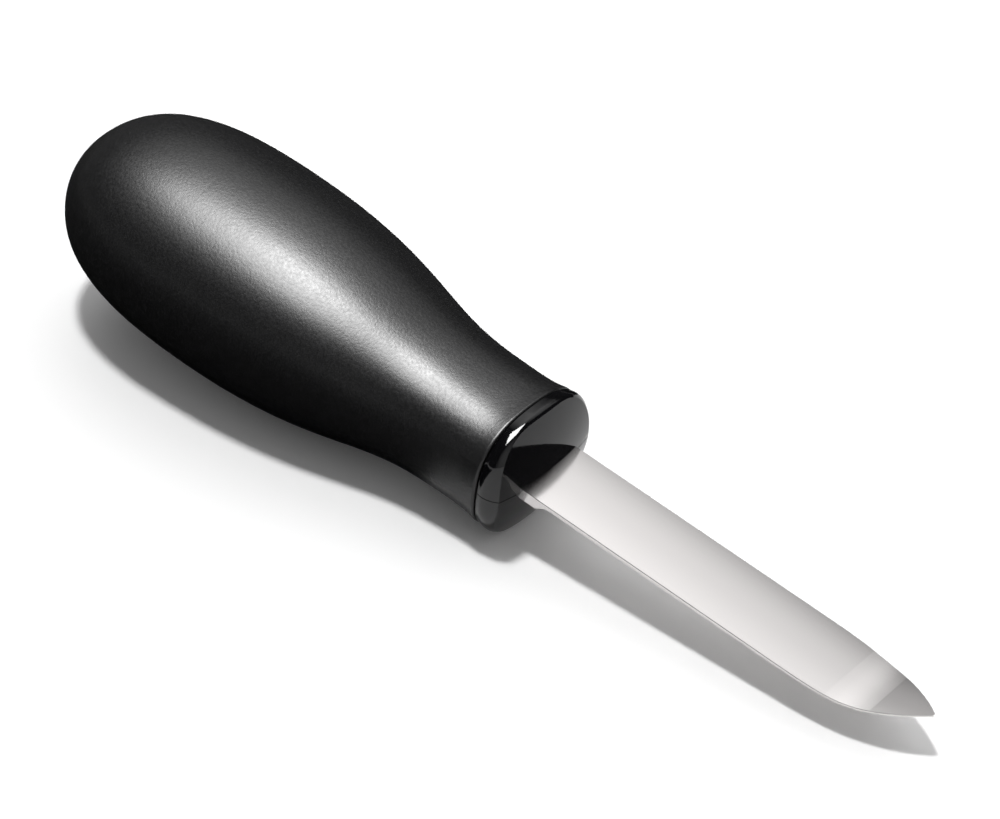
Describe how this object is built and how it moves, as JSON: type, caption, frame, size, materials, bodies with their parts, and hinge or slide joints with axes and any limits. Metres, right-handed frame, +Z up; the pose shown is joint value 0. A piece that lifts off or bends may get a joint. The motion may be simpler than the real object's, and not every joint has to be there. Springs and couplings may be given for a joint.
{
  "type": "oyster knife",
  "caption": "Oyster knife with a broad blunt blade that turns up at its point, and a soft pear shaped grip over a glossy hard collar, lying on a table.",
  "frame": {"origin": "middle of the underside of the bounding box, on the surface that the knife lies on", "axes": "+X from the butt towards the point, +Y across the blade, +Z up"},
  "size_m": [0.1692, 0.037, 0.0353],
  "materials": {
    "blade_steel": "stainless strip, polished to a soft shine",
    "core_plastic": "black moulded plastic, polished",
    "grip_rubber": "black thermoplastic rubber, satin with a faint grain"
  },
  "bodies": {
    "root": {"blade": "blade_steel", "core_upper": "core_plastic", "core_lower": "core_plastic", "grip": "grip_rubber"}
  },
  "joints": []
}
